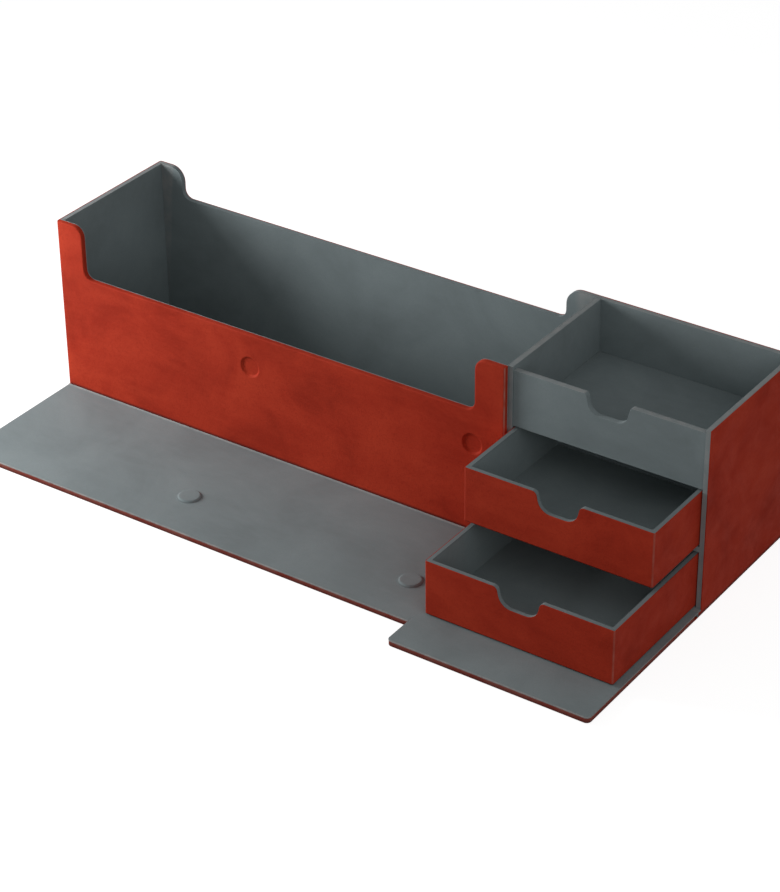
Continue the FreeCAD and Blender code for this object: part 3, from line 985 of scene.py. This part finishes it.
def build_drawer_lining(body):
    """Lining of a drawer: from the wrap's edge over the rim, down the walls and across the floor."""
    node = body + "_lining"
    low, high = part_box(body + "_wrap")
    floor = low.z + DRAWER_WALL
    rim_radius = DRAWER_FOLD_RADIUS - DRAWER_COVER
    columns = []
    for place, top, rubbed in drawer_stops(low, high):
        rim = place(DRAWER_COVER, rim_radius)
        band = place(DRAWER_COVER + EDGE_BAND, DRAWER_CORNER_RADIUS)
        wall = place(DRAWER_WALL, DRAWER_CORNER_RADIUS)
        column = [Vector((rim.x, rim.y, top)), Vector((band.x, band.y, top))]
        heights = [floor + (top - floor) * share for share in LINING_SHARES]
        columns.append(column + upright(wall.x, wall.y, heights))
    mesh = new_sheet()
    verts = join_columns(mesh, columns, closed=True)
    mesh.faces.new([column[-1] for column in verts])
    # Painted shade darkens the lining's rim
    shade = shade_layer(mesh)
    for column in verts:
        for vert in column[:RIM_POINTS]:
            vert[shade] = DRAWER_RIM_SHADE
    piece = new_piece(node + "_dressed", mesh, "grey_microfibre", thickness=DRAWER_COVER)
    fit(piece, body, node)


# Flap sections: the lining runs on over the fold to the case

EDGE_ROWS = (0.0, EDGE_BAND)
FOLD_END = Y_FRONT - LIP_RUN


def flap_edge(low, high, rounding, bumps):
    """Stops along the free edge of a flap section from left to right, with the bumps' squares among them."""
    left, right = rounding
    corners = [(low.x, high.y, 0), (low.x, low.y, left), (high.x, low.y, right), (high.x, high.y, 0)]
    points = [point for point in rounded_line(corners) if point.y < high.y - TINY]
    stops = [low.x + EDGE_BAND, high.x - EDGE_BAND] + square_stops(bumps, BUMP_HALF_SQUARE)
    return spread(points, sorted(stops))


def flap_rows(low, high, bumps):
    """Places of the rows behind the edge's own, and the row at which the bumps' squares start."""
    start = low.y + FLAP_CORNER_RADIUS + 2 * EDGE_BAND
    rows = []
    square_row = 0
    if bumps:
        square = cells(bumps[0].y - BUMP_HALF_SQUARE, bumps[0].y + BUMP_HALF_SQUARE, SQUARE_CELLS)
        rows = evenly(start, square[0])[:-1]
        square_row = len(EDGE_ROWS) + len(rows)
        rows += square[:-1]
        start = square[-1]
    rows += evenly(start, high.y)
    return rows + cells(high.y, FOLD_END, FOLD_ROWS)[1:], square_row


def lip_line(top, rise):
    """Places and heights by which the lining turns up at the case."""
    line = []
    for angle in quarter_turn(1, FOLD_STEPS):
        line.append((FOLD_END + LIP_RUN * math.sin(angle), top + rise * (1 - math.cos(angle))))
    return line


def flap_sheet(low, high, top, rounding, bumps, lip_rise):
    """One sheet from a flap section's free edge over its fold to the case."""
    stops = flap_edge(low, high, rounding, bumps)
    rows, square_row = flap_rows(low, high, bumps)
    lip = lip_line(top, lip_rise)
    columns = []
    for stop in stops:
        places = [stop.y + row for row in EDGE_ROWS] + rows
        line = [(y, top) for y in places] + lip
        columns.append([Vector((stop.x, y, z)) for y, z in line])
    holes = square_holes(bumps, BUMP_HALF_SQUARE, [stop.x for stop in stops], 0, square_row)
    mesh = new_sheet()
    verts = join_columns(mesh, columns, holes=holes)
    rings = soft_rings(BUMP_RIM, BUMP_FLAT)
    # Bumps carry painted shade in the crease at their foot
    for bump, hole in zip(bumps, holes):
        centre = Vector((bump.x, bump.y, top))
        soft_round(mesh, verts, hole, centre, Y_AXIS, Z_AXIS * BUMP_HEIGHT, rings, CREASE_SHADE)
    return mesh


def build_flap_lining(flap, fold, rounding, seam, bumps, with_lip):
    """Lining of a flap section and of its fold.

    The seam is where it meets the other section: the place across, and where that starts.
    """
    low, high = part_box(flap)
    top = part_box(fold)[1].z
    seam_x, seam_start = seam
    if seam_x > high.x:
        high.x += SEAM_FILL
    else:
        low.x -= SEAM_FILL
    mesh = flap_sheet(low, high, top, rounding, bumps, LIP_RISE if with_lip else 0.0)

    def on_seam(vert):
        return abs(vert.co.x - seam_x) < SEAM_BAND and vert.co.y > seam_start

    def stays_sharp(edge):
        at_case = all(vert.co.y > FOLD_END for vert in edge.verts)
        return at_case or all(on_seam(vert) for vert in edge.verts)

    wear = wear_layer(mesh)
    for vert in mesh.verts:
        meets_case = vert.co.y > Y_FRONT - TINY and not with_lip
        if vert.co.y > FOLD_END and with_lip:
            vert[wear] = LIP_WEAR
        elif vert.is_boundary and not on_seam(vert) and not meets_case:
            vert[wear] = EDGE_WEAR
    return new_piece(flap + "_dressed", mesh, "grey_microfibre", thickness=LINING, stays_sharp=stays_sharp)


def build_fold_cover(node):
    """Cover strip under a fold, with rows enough to bend."""
    low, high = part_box(node)
    columns = []
    for x in evenly(low.x, high.x):
        columns.append([Vector((x, y, low.z)) for y in cells(high.y, low.y, FOLD_ROWS)])
    mesh = new_sheet()
    join_columns(mesh, columns)
    thickness = high.z - low.z
    bevel = COVER * FOLD_BEVEL_SHARE
    return new_piece(node + "_dressed", mesh, "red_leatherette", thickness=thickness, bevel=bevel)


def build_flap_cover(node):
    """Cover under a flap section; its upturned edge is rubbed and carries painted shade, darkest towards the
    table.
    """
    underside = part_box(node)[0].z

    def shade(point):
        rise = point.z - underside
        if rise < TINY:
            return 0.0
        return EDGE_SHADE if rise < EDGE_BEVEL + TINY else SIDE_SHADE

    def wear(point):
        return EDGE_WEAR if point.z > underside + TINY else 0.0

    return dressed(node, "red_leatherette", wear=wear, shade=shade)


def build_flaps():
    bumps = magnet_centres("tray_flap_magnets")
    tray_low, tray_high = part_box("tray_flap_lining")
    seam = ((tray_high.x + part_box("drawer_flap_lining")[0].x) / 2, tray_low.y)
    radius = FLAP_CORNER_RADIUS
    start = (0.0, Y_FRONT, 0.0)
    end = (0.0, tray_high.y, 0.0)
    tray_lining = build_flap_lining("tray_flap_lining", "tray_fold_lining", (radius, 0), seam, bumps, True)
    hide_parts("tray_flap_lining", "tray_fold_lining")
    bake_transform(tray_lining, "case", "tray_flap", start=start, end=end)
    tray_fold = build_fold_cover("tray_fold_cover")
    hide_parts("tray_fold_cover")
    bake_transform(tray_fold, "case", "tray_flap", start=start, end=end)
    drawer_lining = build_flap_lining(
        "drawer_flap_lining", "drawer_fold_lining", (radius, radius), seam, (), False)
    fit(drawer_lining, "case", "drawer_flap_lining", "drawer_fold_lining")
    fit(build_fold_cover("drawer_fold_cover"), "case", "drawer_fold_cover")
    fit(build_flap_cover("tray_flap_cover"), "tray_flap", "tray_flap_cover")
    fit(build_flap_cover("drawer_flap_cover"), "case", "drawer_flap_cover")


CASE_LININGS = (
    "tray_floor_lining",
    "bay_floor_lining",
    "left_end_lining",
    "right_end_lining",
    "divider_tray_lining",
    "divider_cabinet_lining",
    "tray_front_lining",
    "tray_back_lining",
    "cabinet_back_lining",
    "shelf_lining",
    "compartment_floor_underside",
    "compartment_floor_lining",
)


def case_rim_wear(point):
    """Wear on the top and front edges of the case's walls."""
    on_top = point.z > CASE_TOP - EDGE_BEVEL / 2
    on_front = point.y < Y_CABINET + EDGE_BEVEL / 2 and point.z > FOOT_TOP + COVER
    return RIM_WEAR if on_top or on_front else 0.0


def panel_rim_wear(point):
    """Wear on the top edge of the compartment's front panel."""
    panel_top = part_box("compartment_front_lining")[1].z
    return RIM_WEAR if point.z > panel_top - EDGE_BEVEL / 2 else 0.0


def base_shade(point):
    """Painted shade on the upright edge of the case's base."""
    return EDGE_SHADE if point.z > TINY else 0.0


def build_pieces():
    build_case_wrap()
    base = dressed("base_cover", "red_leatherette", shade=base_shade)
    fit(base, "case", "base_cover")
    for node in CASE_LININGS:
        fit(dressed(node, "grey_microfibre", wear=case_rim_wear), "case", node)
    for node in ("compartment_front_facing", "compartment_front_lining"):
        fit(dressed(node, "grey_microfibre", wear=panel_rim_wear), "case", node)
    for body in ("upper_drawer", "lower_drawer"):
        build_drawer_wrap(body)
        build_drawer_lining(body)
    build_flaps()
    for name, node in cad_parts.items():
        if name.endswith("_magnets"):
            slot = "magnet_steel"
        elif name.endswith("_board"):
            slot = "grey_board"
        else:
            continue
        node.data.materials.clear()
        node.data.materials.append(MATERIALS[slot])


# Stage: floor, light and camera

def seen_directly(nodes, links):
    """1 for rays from the camera, a mirror or through glass, 0 for light on the object."""
    path = nodes.new("ShaderNodeLightPath")
    outputs = path.outputs
    seen = add_math(nodes, links, "MAXIMUM", outputs["Is Camera Ray"], outputs["Is Glossy Ray"])
    return add_math(nodes, links, "MAXIMUM", seen, outputs["Is Transmission Ray"])


def add_floor():
    data = bpy.data.meshes.new("floor")
    half = FLOOR_HALF
    level = -FLOOR_DROP
    corners = [(-half, -half, level), (half, -half, level), (half, half, level), (-half, half, level)]
    data.from_pydata(corners, [], [(0, 1, 2, 3)])
    material, nodes, links, shader = new_material("pale_floor")
    shader.inputs["Base Color"].default_value = FLOOR_COLOUR
    shader.inputs["Roughness"].default_value = 1.0
    shader.inputs["Specular IOR Level"].default_value = 0.0
    shader.inputs["Emission Color"].default_value = WHITE
    glow = add_math(nodes, links, "MULTIPLY", seen_directly(nodes, links), FLOOR_GLOW)
    links.new(glow, shader.inputs["Emission Strength"])
    data.materials.append(material)
    floor = bpy.data.objects.new("floor", data)
    bpy.context.scene.collection.objects.link(floor)
    return floor


def add_lamp(name, place, aim, size, power):
    lamp = bpy.data.lights.new(name, "AREA")
    lamp.shape = "DISK"
    lamp.size = size
    lamp.energy = power
    holder = bpy.data.objects.new(name, lamp)
    holder.location = place
    holder.rotation_euler = (Vector(aim) - Vector(place)).to_track_quat("-Z", "Y").to_euler()
    holder.visible_camera = False
    bpy.context.scene.collection.objects.link(holder)
    return holder


def light_world():
    world = bpy.data.worlds.new("studio")
    world.use_nodes = True
    nodes = world.node_tree.nodes
    links = world.node_tree.links
    background = nodes["Background"]
    background.inputs["Color"].default_value = WHITE
    seen = seen_directly(nodes, links)
    strength = add_range(nodes, links, seen, span=(0.0, 1.0), to=(WORLD_LIGHT, 1.0))
    links.new(strength, background.inputs["Strength"])
    bpy.context.scene.world = world


def add_camera():
    level = math.cos(CAMERA_ELEVATION)
    back = Vector((
        math.sin(CAMERA_AZIMUTH) * level,
        -math.cos(CAMERA_AZIMUTH) * level,
        math.sin(CAMERA_ELEVATION),
    ))
    right = Z_AXIS.cross(back).normalized()
    up = back.cross(right)
    right_rolled = right * math.cos(CAMERA_ROLL) + up * math.sin(CAMERA_ROLL)
    up_rolled = up * math.cos(CAMERA_ROLL) - right * math.sin(CAMERA_ROLL)
    axes = Matrix((right_rolled, up_rolled, back)).transposed()
    data = bpy.data.cameras.new("camera")
    data.sensor_width = SENSOR
    data.lens = FOCAL_PIXELS / PICTURE_HEIGHT * SENSOR
    data.clip_end = CAMERA_REACH
    camera = bpy.data.objects.new("camera", data)
    camera.matrix_world = Matrix.Translation(CAMERA_PLACE) @ axes.to_4x4()
    bpy.context.scene.collection.objects.link(camera)
    bpy.context.scene.camera = camera


def add_stage():
    floor = add_floor()
    key = add_lamp("key", KEY_PLACE, KEY_AIM, KEY_SIZE, KEY_POWER)
    fill = add_lamp("fill", FILL_PLACE, FILL_AIM, FILL_SIZE, FILL_POWER)
    light_world()
    add_camera()
    bpy.context.scene.view_settings.view_transform = "Standard"


build_pieces()
add_stage()
